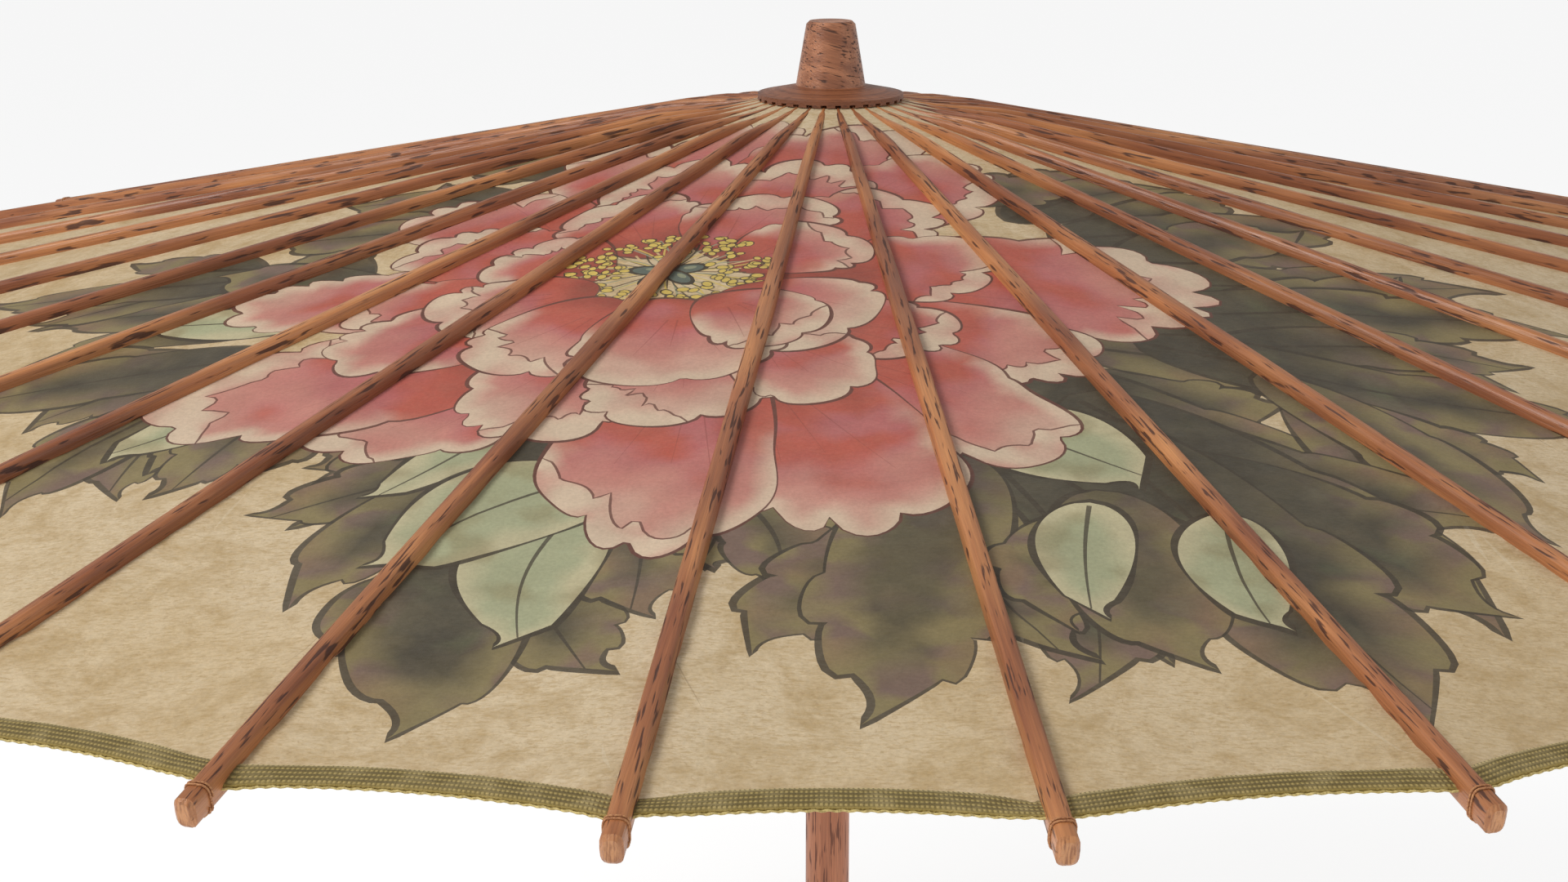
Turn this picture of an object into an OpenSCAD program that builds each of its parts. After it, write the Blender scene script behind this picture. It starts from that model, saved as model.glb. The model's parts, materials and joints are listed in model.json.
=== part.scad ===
// Oil paper umbrella, shown open. The pole is the Z axis and the foot of the handle is the origin.

/* [Canopy] */
// Number of ribs round the canopy
rib_count = 32; // [28, 32]
// Rib length from the canopy's apex to the tip, along the slope
rib_reach = 432; // [400:2:450]
// Slope of the open ribs below the horizontal, in degrees
open_slope = 11.5; // [10:0.5:13]
// Bare rib beyond the rim of the paper
tip_bare = 10; // [6:1:12]
// Width of the cloth binding along the rim
band_w = 7; // [5:1:10]
// How far the rim curves in between two ribs
rim_scoop = 6; // [2:1:7]

/* [Ribs] */
// Width of a rib over its outer half
rib_w = 4.6; // [4:0.1:4.6]
// Height of a rib
rib_h = 6.5; // [5:0.5:6.5]
// Distance along a rib from its head to the strut's pin
strut_at = 172; // [150:2:190]

/* [Pole and handle] */
// Height of the canopy's apex above the foot
apex_z = 535; // [520:5:560]
// Diameter of the pole
pole_d = 15; // [14:0.5:16]
// Length of the handle
handle_len = 112; // [100:2:116]
// Diameter of the handle's grip
grip_d = 24; // [22:1:28]

/* [Runner] */
// Height of the strut pivots while the umbrella is open
runner_z = 455; // [450:1:460]
// Diameter of the slotted runner head
runner_d = 38; // [36:1:40]
// Length of the runner's sleeve below its head
runner_sleeve = 54; // [40:2:56]

/* [Finial and cap] */
// Diameter of the conical cap disc
cap_d = 47; // [46:1:52]
// Diameter of the finial at its base
finial_base_d = 22.4; // [20:0.2:24]
// Diameter of the finial at its top
finial_top_d = 15.8; // [14:0.2:18]
// Height of the finial
finial_h = 20.5; // [18:0.5:26]

/* [Hidden] */
$fn = 64;
step_angle = 360 / rib_count;
half_angle = step_angle / 2;
clear = 0.1;        // gap round a part fixed on the pole
slide_clear = 0.3;  // gap between the runner and the pole
leaf_t = 1.3;       // thickness of the rib heads and strut tongues
slot_w = 1.7;       // width of the slots that hold them
cord_r = 0.4;       // radius of the hub cords
cord_bore_r = 0.6;  // radius of the holes and channels for the cords

pole_r = pole_d / 2;
tenon_r = 4.8;
head_r = 21;
head_pivot_r = 17;
head_slot_r = 13.6;
head_end_r = 1.6;
axis_lift = 1.6;    // height of a rib's centre line above its pivot
head_pivot_z = apex_z - head_pivot_r * tan(open_slope) - axis_lift / cos(open_slope);
head_top_z = head_pivot_z + head_end_r + 0.3;
head_bottom_z = head_pivot_z - 5;
neck_r = 11.5;
neck_len = 13;

cap_r = cap_d / 2;
cap_rim_h = 2;
cap_line_z = apex_z + 2.4;  // apex of the cap's cone
seat_z = cap_line_z - finial_base_d / 2 * tan(open_slope);

rib_len = rib_reach - head_pivot_r / cos(open_slope);
rib_thin = 8.5;     // length of the thin rib head
rib_full = 165;     // distance at which a rib reaches its full width
rib_rise = 45;      // distance at which a rib reaches its full height
rib_neck_w = 2.4;
rib_bevel = 1.1;
tip_bevel = 0.8;

runner_r = runner_d / 2;
runner_pivot_r = 15;
runner_slot_r = 12.2;
runner_half_h = 6;
sleeve_r = 11;
strut_w = 3;
strut_h = 4.6;
strut_end_r = 1.4;
strut_pin_z = -0.1; // height of the strut's pin above the rib's pivot line
strut_outer = rib_point(strut_at, strut_pin_z);
strut_run = strut_outer[0] - runner_pivot_r;
strut_rise = strut_outer[1] - runner_z;
strut_len = norm([strut_run, strut_rise]);
strut_tilt = atan2(strut_rise, strut_run);

paper_t = 0.5;
band_t = 0.9;
paper_gap = 0.35;   // gap between the paper and a rib's side
paper_in_r = cap_r + 1.6;
rim_r = (rib_reach - tip_bare) * cos(open_slope);
band_in_r = (rib_reach - tip_bare - band_w) * cos(open_slope);
panel_slope = atan(tan(open_slope) / cos(half_angle));
rim_steps = 8;

catch_pin_z = runner_z - runner_half_h - runner_sleeve - 25;
catch_pin_x = 3.5;
catch_len = 22;
catch_t = 2.6;
handle_pin_z = handle_len - 6;

function two_digits(i) = str(i < 10 ? "0" : "", i);
function rib_name(i) = str("rib_", two_digits(i));
function rib_azimuth(i) = -90 + (i - 0.5) * step_angle;
// Radius and height of a point given along and across an open rib
function rib_point(along, up) = [
    head_pivot_r + along * cos(open_slope) + up * sin(open_slope),
    head_pivot_z - along * sin(open_slope) + up * cos(open_slope)];
// Half width of a rib at a distance from its pivot
function rib_half_w(along) =
    let (share = min(1, max(0, (along - rib_thin) / (rib_full - rib_thin))))
    (rib_neck_w + (rib_w - rib_neck_w) * share) / 2;
// Point of a panel's edge at a radius, in the panel's own plane
function panel_edge(r, side) =
    let (gap = rib_half_w(r - head_pivot_r) + paper_gap)
    [r * cos(half_angle) / cos(panel_slope) - gap * sin(half_angle),
     side * (r * sin(half_angle) - gap * cos(half_angle))];
// Points along a panel's curved edge at a radius
function panel_rim(r, scoop) =
    let (left = panel_edge(r, -1), right = panel_edge(r, 1))
    [for (i = [0:rim_steps])
        let (t = i / rim_steps, bow = 4 * t * (1 - t))
        left + (right - left) * t - [scoop * bow, 0]];

module shown(name) {
    children();
}

// Places a part drawn along +X at each rib's azimuth
module round_the_pole(offset = 0) {
    for (i = [1:rib_count]) rotate([0, 0, rib_azimuth(i) + offset]) children();
}

// Stands a profile drawn in X and Z up, with a thickness along Y
module upright(thickness) {
    rotate([90, 0, 0]) linear_extrude(thickness, center = true) children();
}

module across(r, length) {
    rotate([90, 0, 0]) cylinder(r = r, h = length, center = true);
}

module ring_cord(ring_r, z, r) {
    translate([0, 0, z]) rotate_extrude() translate([ring_r, 0]) circle(r, $fn = 24);
}

// Ribs

module rib_side() {
    low = axis_lift - rib_h / 2;
    high = axis_lift + rib_h / 2;
    circle(head_end_r, $fn = 32);
    polygon([[0, -head_end_r], [rib_thin, -head_end_r], [rib_rise, low], [rib_len - tip_bevel, low],
             [rib_len, low + tip_bevel], [rib_len, high - tip_bevel], [rib_len - tip_bevel, high],
             [rib_rise, high], [rib_thin, head_end_r + 0.2], [0, head_end_r]]);
}

module rib_plan() {
    upper = [[-head_end_r, leaf_t / 2], [rib_thin, leaf_t / 2], [rib_thin + 2, rib_neck_w / 2],
             [rib_full, rib_w / 2], [rib_len - tip_bevel, rib_w / 2], [rib_len, rib_w / 2 - tip_bevel]];
    count = len(upper);
    lower = [for (i = [count - 1:-1:0]) [upper[i][0], -upper[i][1]]];
    polygon(concat(upper, lower));
}

module rib_section() {
    w = rib_w / 2;
    h = rib_h / 2;
    polygon([[-w, -h + rib_bevel], [-w + rib_bevel, -h], [w - rib_bevel, -h], [w, -h + rib_bevel],
             [w, h - rib_bevel], [w - rib_bevel, h], [-w + rib_bevel, h], [-w, h - rib_bevel]]);
}

module rib(i) {
    color("peru") rotate([0, 0, rib_azimuth(i)]) translate([head_pivot_r, 0, head_pivot_z])
        rotate([0, open_slope, 0]) difference() {
            intersection() {
                upright(rib_w + 1) rib_side();
                translate([0, 0, -rib_h]) linear_extrude(3 * rib_h) rib_plan();
                translate([-2 * head_end_r, 0, axis_lift]) rotate([90, 0, 90])
                    linear_extrude(rib_len + 4 * head_end_r) rib_section();
            }
            across(cord_bore_r, 2 * rib_w);
            translate([strut_at, 0, strut_pin_z]) across(cord_bore_r, 2 * rib_w);
            translate([strut_at - 16, -slot_w / 2, axis_lift - rib_h]) cube([20, slot_w, rib_h]);
        }
}

// Top: finial, cap and slotted hub

module finial() {
    color("sienna") difference() {
        translate([0, 0, seat_z]) union() {
            cylinder(d1 = finial_base_d, d2 = finial_top_d, h = finial_h - 1);
            translate([0, 0, finial_h - 1]) cylinder(d1 = finial_top_d, d2 = finial_top_d - 2, h = 1);
        }
        translate([0, 0, seat_z - 1]) cylinder(r = tenon_r + clear, h = 14);
    }
}

module cap_disc() {
    rim_top = cap_line_z - cap_r * tan(open_slope);
    color("chocolate") difference() {
        rotate_extrude() polygon([
            [tenon_r + clear, head_top_z], [head_r + 0.15, head_top_z],
            [head_r + 0.15, rim_top - cap_rim_h], [cap_r, rim_top - cap_rim_h], [cap_r, rim_top],
            [finial_base_d / 2, seat_z], [tenon_r + clear, seat_z]]);
        round_the_pole() translate([head_r - 1, -slot_w / 2 - 0.1, head_top_z - 9])
            cube([6, slot_w + 0.2, 8.6]);
    }
}

module head_hub() {
    color("saddlebrown") difference() {
        union() {
            translate([0, 0, head_bottom_z]) cylinder(r = head_r, h = head_top_z - head_bottom_z);
            translate([0, 0, head_bottom_z - neck_len]) cylinder(r = neck_r, h = neck_len);
        }
        translate([0, 0, head_bottom_z - neck_len - 1])
            cylinder(r = pole_r + clear, h = neck_len + head_top_z - head_bottom_z + 2);
        round_the_pole() translate([head_slot_r, -slot_w / 2, head_bottom_z - 1])
            cube([head_r, slot_w, head_top_z - head_bottom_z + 2]);
        ring_cord(head_pivot_r, head_pivot_z, cord_bore_r);
        translate([0, 0, head_bottom_z - neck_len / 2]) rotate([0, 90, 0])
            cylinder(r = 1.25, h = 4 * neck_r, center = true);
    }
}

module head_pin() {
    color("burlywood") translate([0, 0, head_bottom_z - neck_len / 2]) rotate([0, 90, 0])
        cylinder(r = 1.2, h = 2 * neck_r, center = true);
}

// Canopy

// The elbow is the radius at which the ribs reach their full width, where a panel's sides bend
module panels(thickness, inner, inner_scoop, outer, outer_scoop, elbow = 0) {
    rim = panel_rim(outer, outer_scoop);
    back = panel_rim(inner, inner_scoop);
    bends = elbow > inner ? [[panel_edge(elbow, 1)], [panel_edge(elbow, -1)]] : [[], []];
    outline = concat(rim, bends[0], [for (i = [rim_steps:-1:0]) back[i]], bends[1]);
    round_the_pole(half_angle) translate([0, 0, apex_z]) rotate([0, panel_slope, 0])
        linear_extrude(thickness, center = true) polygon(outline);
}

module canopy_paper() {
    color("wheat") panels(paper_t, paper_in_r, 0, band_in_r, rim_scoop,
        head_pivot_r + rib_full * cos(open_slope));
}

module rim_band() {
    color("darkkhaki") panels(band_t, band_in_r, rim_scoop, rim_r, rim_scoop);
}

// Pole

module pole() {
    foot_z = 20;
    color("sienna") difference() {
        union() {
            translate([0, 0, foot_z]) cylinder(r = pole_r, h = head_top_z - foot_z);
            translate([0, 0, head_top_z]) cylinder(r = tenon_r, h = seat_z + 12 - head_top_z);
        }
        translate([0, 0, head_bottom_z - neck_len / 2]) rotate([0, 90, 0])
            cylinder(r = 1.25, h = 4 * pole_r, center = true);
        translate([0, 0, handle_pin_z]) rotate([0, 90, 0]) cylinder(r = 1.25, h = 4 * pole_r, center = true);
        translate([-1.5, -catch_t / 2 - 0.3, catch_pin_z - 4]) cube([pole_r + 2, catch_t + 0.6, catch_len + 6]);
        translate([catch_pin_x, 0, catch_pin_z]) across(0.95, 3 * pole_r);
    }
}

// Runner and struts

module runner() {
    bottom = runner_z - runner_half_h - runner_sleeve;
    color("saddlebrown") difference() {
        union() {
            translate([0, 0, runner_z - runner_half_h]) cylinder(r = runner_r, h = 2 * runner_half_h);
            translate([0, 0, bottom]) cylinder(r = sleeve_r, h = runner_sleeve);
            translate([0, 0, bottom]) cylinder(r = sleeve_r + 1.5, h = 4);
        }
        translate([0, 0, bottom - 1]) cylinder(r = pole_r + slide_clear, h = runner_sleeve + 2 * runner_half_h + 2);
        round_the_pole() translate([runner_slot_r, -slot_w / 2, runner_z - runner_half_h - 1])
            cube([runner_r, slot_w, 2 * runner_half_h + 2]);
        ring_cord(runner_pivot_r, runner_z, cord_bore_r);
    }
}

module strut() {
    inner_tongue = runner_r - runner_pivot_r + 3;
    outer_tongue = 13;
    half_h = strut_h / 2;
    side = [[0, -strut_end_r], [inner_tongue, -half_h], [strut_len - outer_tongue, -half_h],
            [strut_len, -strut_end_r], [strut_len, strut_end_r], [strut_len - outer_tongue, half_h],
            [inner_tongue, half_h], [0, strut_end_r]];
    half_w = strut_w / 2;
    thin = leaf_t / 2;
    plan = [[-2, -thin], [inner_tongue, -thin], [inner_tongue + 2, -half_w],
            [strut_len - outer_tongue - 2, -half_w], [strut_len - outer_tongue, -thin], [strut_len + 2, -thin],
            [strut_len + 2, thin], [strut_len - outer_tongue, thin], [strut_len - outer_tongue - 2, half_w],
            [inner_tongue + 2, half_w], [inner_tongue, thin], [-2, thin]];
    difference() {
        intersection() {
            upright(strut_w + 1) union() {
                circle(strut_end_r, $fn = 32);
                translate([strut_len, 0]) circle(strut_end_r, $fn = 32);
                polygon(side);
            }
            translate([0, 0, -strut_h]) linear_extrude(2 * strut_h) polygon(plan);
        }
        across(cord_bore_r, 2 * strut_w);
        translate([strut_len, 0, 0]) across(cord_bore_r, 2 * strut_w);
    }
}

module struts() {
    color("tan") round_the_pole() translate([runner_pivot_r, 0, runner_z])
        rotate([0, -strut_tilt, 0]) strut();
}

// Catch

module catch_lever() {
    color("goldenrod") difference() {
        translate([catch_pin_x, 0, catch_pin_z]) upright(catch_t) union() {
            circle(2.2, $fn = 32);
            polygon([[-1.5, 0], [2.2, 0], [pole_r - catch_pin_x - 0.3, 5],
                     [pole_r - catch_pin_x - 0.3, catch_len], [-0.5, catch_len], [-1.5, catch_len - 4]]);
        }
        translate([catch_pin_x, 0, catch_pin_z]) across(0.98, 2 * catch_t);
    }
}

module catch_pin() {
    half_chord = sqrt(pole_r * pole_r - catch_pin_x * catch_pin_x);
    color("silver") translate([catch_pin_x, 0, catch_pin_z]) across(0.9, 2 * half_chord - 0.4);
}

// Handle

module handle() {
    grip_r = grip_d / 2;
    bead_z = handle_len - 18;
    color("sienna") difference() {
        rotate_extrude() polygon([
            [0, 0], [grip_r - 3, 0], [grip_r - 0.8, 1], [grip_r, 3], [grip_r, bead_z],
            [grip_r + 1.4, bead_z + 2], [grip_r + 1.4, bead_z + 5], [grip_r, bead_z + 7],
            [grip_r - 2.5, handle_len], [0, handle_len]]);
        translate([0, 0, 19]) cylinder(r = pole_r + clear, h = handle_len);
        translate([0, 0, handle_pin_z]) rotate([0, 90, 0]) cylinder(r = 1.25, h = 4 * grip_r, center = true);
    }
}

module handle_pin() {
    color("burlywood") translate([0, 0, handle_pin_z]) rotate([0, 90, 0])
        cylinder(r = 1.2, h = grip_d - 5, center = true);
}

module handle_ring() {
    color("goldenrod") translate([0, 0, handle_len]) rotate_extrude() polygon([
        [pole_r + clear, 0], [pole_r + 2, 0], [pole_r + 2.4, 1.5], [pole_r + 2, 3.5], [pole_r + 1, 5],
        [pole_r + clear, 5]]);
}

shown("finial") finial();
shown("cap_disc") cap_disc();
shown("head_hub") head_hub();
shown("head_cord") color("maroon") ring_cord(head_pivot_r, head_pivot_z, cord_r);
shown("head_pin") head_pin();
shown("canopy_paper") canopy_paper();
shown("rim_band") rim_band();
shown("pole") pole();
shown("runner") runner();
shown("runner_cord") color("maroon") ring_cord(runner_pivot_r, runner_z, cord_r);
shown("struts") struts();
shown("catch_lever") catch_lever();
shown("catch_pin") catch_pin();
shown("handle") handle();
shown("handle_ring") handle_ring();
shown("handle_pin") handle_pin();
for (i = [1:rib_count]) shown(rib_name(i)) rib(i);
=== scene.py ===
import json
import math
import random

import bpy
import numpy as np
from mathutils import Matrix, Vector, noise
from mathutils.geometry import delaunay_2d_cdt


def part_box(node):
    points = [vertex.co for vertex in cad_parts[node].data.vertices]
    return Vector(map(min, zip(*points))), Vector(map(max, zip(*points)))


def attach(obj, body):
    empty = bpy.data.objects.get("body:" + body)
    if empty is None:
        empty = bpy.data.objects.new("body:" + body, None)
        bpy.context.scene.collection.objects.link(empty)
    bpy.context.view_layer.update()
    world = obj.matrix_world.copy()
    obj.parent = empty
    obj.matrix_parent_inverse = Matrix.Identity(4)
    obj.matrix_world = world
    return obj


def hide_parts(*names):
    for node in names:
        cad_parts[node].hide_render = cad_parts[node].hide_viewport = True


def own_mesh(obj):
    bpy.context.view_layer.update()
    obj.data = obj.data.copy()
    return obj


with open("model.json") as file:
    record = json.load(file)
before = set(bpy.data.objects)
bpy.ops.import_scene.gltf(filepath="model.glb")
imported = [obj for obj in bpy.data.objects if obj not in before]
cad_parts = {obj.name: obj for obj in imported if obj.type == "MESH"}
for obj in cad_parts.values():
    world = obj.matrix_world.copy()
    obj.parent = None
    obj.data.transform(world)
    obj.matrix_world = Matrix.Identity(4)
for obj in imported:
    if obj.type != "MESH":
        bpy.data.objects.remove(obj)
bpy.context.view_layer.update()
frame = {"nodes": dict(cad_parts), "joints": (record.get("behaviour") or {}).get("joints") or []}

# The umbrella's main lines, shared by the pieces below, in metres and degrees
umbrella = {
    "apexHeight": 0.535,     # where the ribs' centre lines would meet
    "slope": 11.5,           # of the open ribs, below the horizontal
    "ribLift": 0.0016,       # of a rib's centre line above its pivot
    "reach": 0.432,          # from the apex to a rib's tip, along the slope
    "bareTip": 0.010,        # rib beyond the rim
    "bandWidth": 0.007,
    "scoop": 0.006,          # of the rim between two ribs
    "paperSag": 0.0016,      # between two ribs at the rim
}

slope = math.radians(umbrella["slope"])
ribJoints = [joint for joint in frame["joints"] if joint["name"].startswith("rib_")]
ribCount = len(ribJoints)
gap = math.tau / ribCount
pivotHeight = ribJoints[0]["pos_m"][2]
pivotRadius = math.hypot(ribJoints[0]["pos_m"][0], ribJoints[0]["pos_m"][1])
ribLength = umbrella["reach"] - pivotRadius / math.cos(slope)
rimRadius = (umbrella["reach"] - umbrella["bareTip"]) * math.cos(slope)
panelFall = math.tan(slope) / math.cos(gap / 2)     # height lost per metre along a panel's middle
scene = bpy.context.scene


def ribAngle(number):
    return -math.pi / 2 + (number + 0.5) * gap


def smooth(value, low=0.0, high=1.0):
    share = np.clip((value - low) / (high - low), 0, 1)
    return share * share * (3 - 2 * share)


class Wire:  # a socket in a node tree, with arithmetic
    def __init__(self, finish, socket):
        self.finish, self.socket = finish, socket

    def sum(self, operation, left, right):
        return self.finish.node("ShaderNodeMath", {"operation": operation}, {0: left, 1: right})

    def __add__(self, other):
        return self.sum("ADD", self, other)

    def __sub__(self, other):
        return self.sum("SUBTRACT", self, other)

    def __rsub__(self, other):
        return self.sum("SUBTRACT", other, self)

    def __mul__(self, other):
        return self.sum("MULTIPLY", self, other)

    def __truediv__(self, other):
        return self.sum("DIVIDE", self, other)

    def __pow__(self, other):
        return self.sum("POWER", self, other)

    __radd__ = __add__
    __rmul__ = __mul__


class Finish:  # a material and the few ways its nodes are made
    def __init__(self, name, roughness=0.5):
        self.material = bpy.data.materials.new(name)
        self.material.use_nodes = True
        self.nodes = self.material.node_tree.nodes
        self.shader = self.nodes["Principled BSDF"]
        self.shader.inputs["Roughness"].default_value = roughness

    def node(self, kind, settings=None, inputs=None, out=0):
        made = self.nodes.new(kind)
        for name, value in (settings or {}).items():
            if name == "stops":
                self.stops(made.color_ramp, value)
            else:
                setattr(made, name, value)
        for name, value in (inputs or {}).items():
            self.join(value, made.inputs[name])
        return Wire(self, made.outputs[out])

    def join(self, value, socket):
        if isinstance(value, Wire):
            self.material.node_tree.links.new(value.socket, socket)
        else:
            socket.default_value = value

    def stops(self, ramp, stops):
        while len(ramp.elements) < len(stops):
            ramp.elements.new(0.5)
        for element, (place, tone) in zip(ramp.elements, stops):
            element.position = place
            element.color = (*tone, 1) if hasattr(tone, "__len__") else (tone, tone, tone, 1)

    def mark(self, name, out="Fac"):
        return self.node("ShaderNodeAttribute", {"attribute_name": name}, out=out)

    def split(self, vector):
        return [self.node("ShaderNodeSeparateXYZ", inputs={0: vector}, out=i) for i in range(3)]

    def vector(self, x, y, z):
        return self.node("ShaderNodeCombineXYZ", inputs={0: x, 1: y, 2: z})

    def place(self):
        return self.node("ShaderNodeTexCoord", out="Object")

    def cloud(self, vector, scale=1.0, detail=3.0, rough=0.55, warp=0.0):
        values = {"Vector": vector, "Scale": scale, "Detail": detail, "Roughness": rough, "Distortion": warp}
        return self.node("ShaderNodeTexNoise", inputs=values)

    def ramp(self, value, low, high, bottom=0.0, top=1.0):
        settings = {"stops": [(low, bottom), (high, top)]}
        return self.node("ShaderNodeValToRGB", settings, {0: value})

    def blend(self, share, under, over):
        tones = [(*tone, 1) if isinstance(tone, tuple) and len(tone) == 3 else tone for tone in (under, over)]
        return self.node("ShaderNodeMix", {"data_type": "RGBA"}, {0: share, 6: tones[0], 7: tones[1]}, out=2)

    def shade(self, colour, value):  # a colour made lighter or darker by a value
        grey = self.vector(value, value, value)
        return self.node("ShaderNodeVectorMath", {"operation": "MULTIPLY"}, {0: colour, 1: grey})

    def done(self, colour, roughness=None, height=None, depth=0.0004, strength=0.5):
        self.join(colour, self.shader.inputs["Base Color"])
        if roughness is not None:
            self.join(roughness, self.shader.inputs["Roughness"])
        if height is not None:
            values = {"Height": height, "Distance": depth, "Strength": strength}
            self.join(self.node("ShaderNodeBump", inputs=values), self.shader.inputs["Normal"])
        return self.material


woodTones = {
    "ribs": {"light": (0.36, 0.125, 0.046), "base": (0.22, 0.066, 0.024), "dark": (0.050, 0.013, 0.006)},
    "golden": {"light": (0.56, 0.24, 0.085), "base": (0.40, 0.150, 0.050)},
    "tipEnd": {"light": (0.62, 0.29, 0.125), "dark": (0.36, 0.145, 0.058)},
    "turned": {"light": (0.44, 0.19, 0.095), "base": (0.28, 0.105, 0.048), "dark": (0.09, 0.030, 0.014)},
    "finial": {"light": (0.44, 0.18, 0.085), "base": (0.25, 0.090, 0.040), "dark": (0.06, 0.020, 0.010)},
    "disc": {"light": (0.29, 0.100, 0.040), "base": (0.165, 0.052, 0.020), "dark": (0.070, 0.020, 0.008)},
    "pole": {"light": (0.52, 0.20, 0.095), "base": (0.37, 0.125, 0.054), "dark": (0.12, 0.034, 0.016)},
    "struts": {"light": (0.66, 0.42, 0.20), "base": (0.50, 0.28, 0.115), "dark": (0.22, 0.10, 0.035)},
    "pegs": {"light": (0.70, 0.50, 0.28), "base": (0.58, 0.38, 0.19), "dark": (0.30, 0.16, 0.06)},
}


def woodGrain(finish, tones, along, across, up, seed=0.0, marks=(0.60, 0.66)):
    start = seed * 31.7
    bands = finish.cloud(finish.vector(along * 16 + start, across * 300, up * 300), detail=3)
    fibres = finish.cloud(finish.vector(along * 60 + start, across * 2600, up * 2600), detail=2)
    dashes = finish.cloud(finish.vector(along * 95 + start, across * 1500, up * 900), detail=2, rough=0.4)
    patches = finish.cloud(finish.vector(along * 55 + start, across * 90, up * 90), detail=2)
    flecks = finish.ramp(dashes + patches * 0.3 - 0.15, *marks)
    tone = finish.blend(finish.ramp(bands, 0.36, 0.64), tones["base"], tones["light"])
    tone = finish.blend(flecks * 0.88, tone, tones["dark"])
    tone = finish.shade(tone, fibres * 0.8 + 0.6)
    return tone, fibres - flecks * 0.6, flecks


def turnedWood(name, tones, lean=(0, 0, 0), roughness=0.42):
    finish = Finish(name)
    finish.shader.inputs["Coat Weight"].default_value = 0.05
    finish.shader.inputs["Coat Roughness"].default_value = 0.35
    turn = {"Vector": finish.place(), "Rotation": lean}
    across, up, along = finish.split(finish.node("ShaderNodeMapping", inputs=turn))
    tone, height, flecks = woodGrain(finish, tones, along, across, up)
    return finish.done(tone, flecks * 0.2 + roughness, height, 0.0003)


def ribWood():
    finish = Finish("ribBamboo")
    finish.shader.inputs["Coat Weight"].default_value = 0.05
    finish.shader.inputs["Coat Roughness"].default_value = 0.35
    seed = finish.mark("seed")
    along, across, up = finish.split(finish.mark("grain", "Vector"))
    tone, height, flecks = woodGrain(finish, woodTones["ribs"], along, across, up, seed)
    gold, _, _ = woodGrain(finish, {**woodTones["ribs"], **woodTones["golden"]}, along, across, up, seed)
    drift = finish.cloud(finish.vector(along * 14, seed * 9.1, 0.0), detail=1)
    tone = finish.blend(finish.ramp(drift, 0.42, 0.66), tone, gold)
    ends = finish.cloud(finish.vector(across * 1900, up * 260, seed * 5.0), detail=2)
    tones = woodTones["tipEnd"]
    cut = finish.blend(finish.ramp(ends, 0.42, 0.6), tones["light"], tones["dark"])
    tone = finish.blend(finish.mark("endGrain"), tone, cut)
    return finish.done(tone, flecks * 0.2 + 0.4, height, 0.0003)


def strutWood():
    finish = Finish("strutBamboo", 0.5)
    along, across, up = finish.split(finish.mark("grain", "Vector"))
    tone, height, flecks = woodGrain(finish, woodTones["struts"], along, across, up, finish.mark("seed"),
                                     (0.64, 0.72))
    return finish.done(tone, flecks * 0.2 + 0.45, height, 0.0002)


def capWood():
    finish = Finish("capWood")
    x, y, z = finish.split(finish.place())
    radius = (x * x + y * y) ** 0.5
    rings = finish.cloud(finish.vector(radius * 700, x * 35, y * 35), detail=3, warp=0.4)
    fibres = finish.cloud(finish.vector(x * 240, y * 1500, z * 1500), detail=2)
    tone = finish.blend(finish.ramp(rings, 0.36, 0.66), woodTones["disc"]["base"], woodTones["disc"]["light"])
    tone = finish.blend(finish.ramp(fibres, 0.56, 0.68) * 0.7, tone, woodTones["disc"]["dark"])
    edge = finish.ramp(radius * 40, 0.85, 0.93)
    tone = finish.blend(edge * 0.35, tone, woodTones["disc"]["dark"])
    return finish.done(tone, fibres * 0.2 + 0.35, rings + fibres, 0.0003)


def threadFinish(name, light, dark, pitch):
    finish = Finish(name, 0.75)
    x, y, z = finish.split(finish.place())
    twist = finish.cloud(finish.vector(x * pitch, y * pitch, z * pitch), detail=2)
    tone = finish.blend(finish.ramp(twist, 0.35, 0.65), dark, light)
    return finish.done(tone, None, twist, 0.0003)


def metalFinish(name, light, dark, roughness):
    finish = Finish(name, roughness)
    finish.shader.inputs["Metallic"].default_value = 1.0
    x, y, z = finish.split(finish.place())
    wear = finish.cloud(finish.vector(x * 180, y * 180, z * 180), detail=4)
    brushed = finish.cloud(finish.vector(x * 300, y * 300, z * 6000), detail=2)
    tone = finish.blend(finish.ramp(wear, 0.38, 0.68), light, dark)
    return finish.done(tone, wear * 0.3 + (roughness - 0.1), brushed, 0.0001)


paperTones = {
    "base": (0.56, 0.425, 0.250),
    "pale": (0.62, 0.50, 0.335),
    "stain": (0.385, 0.255, 0.105),
    "fibre": (0.34, 0.21, 0.10),
}


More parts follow.
